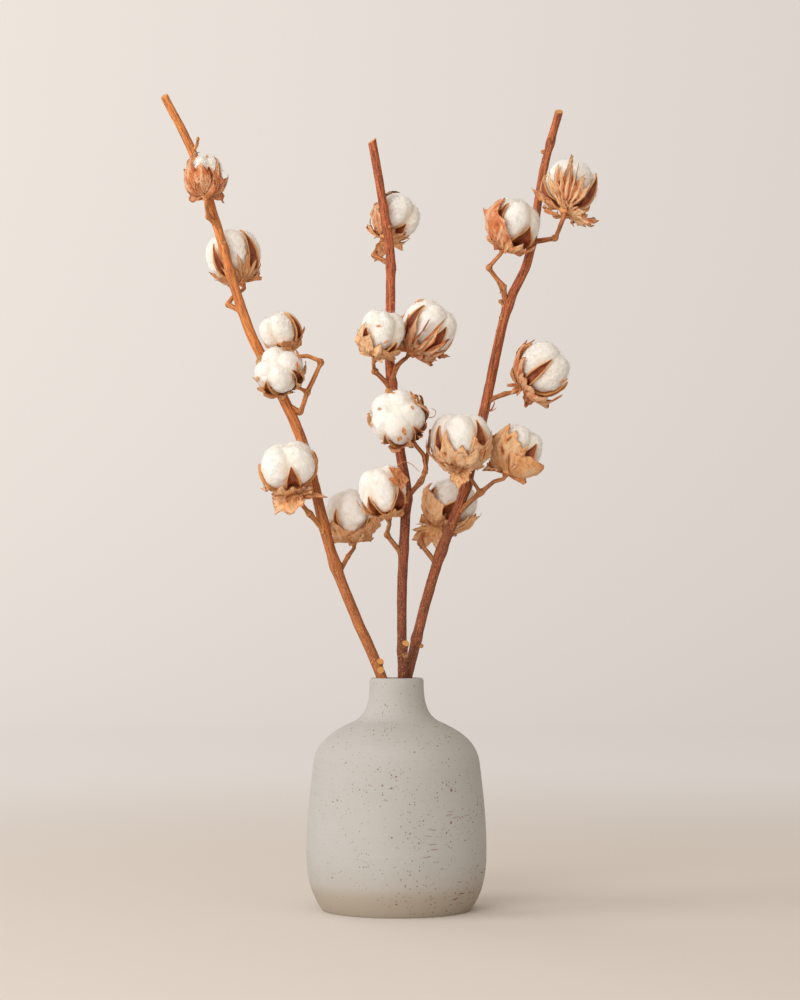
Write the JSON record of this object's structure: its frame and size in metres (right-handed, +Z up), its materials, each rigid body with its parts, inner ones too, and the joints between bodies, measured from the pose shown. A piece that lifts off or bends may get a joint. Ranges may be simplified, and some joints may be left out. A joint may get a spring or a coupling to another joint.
{
  "type": "cotton stem bunch",
  "caption": "Dried cotton stems with open bolls, standing in a bottle-shaped stoneware vase with a narrow neck.",
  "frame": {"origin": "centre of the vase's flat base", "axes": "+Z up, -Y towards the front of the arrangement, +X to its right"},
  "size_m": [0.333, 0.1493, 0.6252],
  "materials": {
    "vase": "matte",
    "left_bark": "satin",
    "red_bark": "satin",
    "cotton": "matte",
    "burr": "matte",
    "bract": "matte"
  },
  "bodies": {
    "root": {"vase": "vase", "stem_left": "left_bark", "stem_middle": "red_bark", "stem_right": "red_bark", "boll_L1_cotton": "cotton", "boll_L1_burr": "burr", "boll_L1_bracts": "bract", "boll_L2_cotton": "cotton", "boll_L2_burr": "burr", "boll_L2_bracts": "bract", "boll_L3_cotton": "cotton", "boll_L3_burr": "burr", "boll_L3_bracts": "bract", "boll_L4_cotton": "cotton", "boll_L4_burr": "burr", "boll_L4_bracts": "bract", "boll_L5_cotton": "cotton", "boll_L5_burr": "burr", "boll_L5_bracts": "bract", "boll_L6_cotton": "cotton", "boll_L6_burr": "burr", "boll_L6_bracts": "bract", "boll_M1_cotton": "cotton", "boll_M1_burr": "burr", "boll_M1_bracts": "bract", "boll_M2_cotton": "cotton", "boll_M2_burr": "burr", "boll_M2_bracts": "bract", "boll_M3_cotton": "cotton", "boll_M3_burr": "burr", "boll_M3_bracts": "bract", "boll_M4_cotton": "cotton", "boll_M4_burr": "burr", "boll_M4_bracts": "bract", "boll_M5_cotton": "cotton", "boll_M5_burr": "burr", "boll_M5_bracts": "bract", "boll_R1_cotton": "cotton", "boll_R1_burr": "burr", "boll_R1_bracts": "bract", "boll_R2_cotton": "cotton", "boll_R2_burr": "burr", "boll_R2_bracts": "bract", "boll_R3_cotton": "cotton", "boll_R3_burr": "burr", "boll_R3_bracts": "bract", "boll_R4_cotton": "cotton", "boll_R4_burr": "burr", "boll_R4_bracts": "bract", "boll_R5_cotton": "cotton", "boll_R5_burr": "burr", "boll_R5_bracts": "bract", "boll_R6_cotton": "cotton", "boll_R6_burr": "burr", "boll_R6_bracts": "bract"}
  },
  "joints": []
}
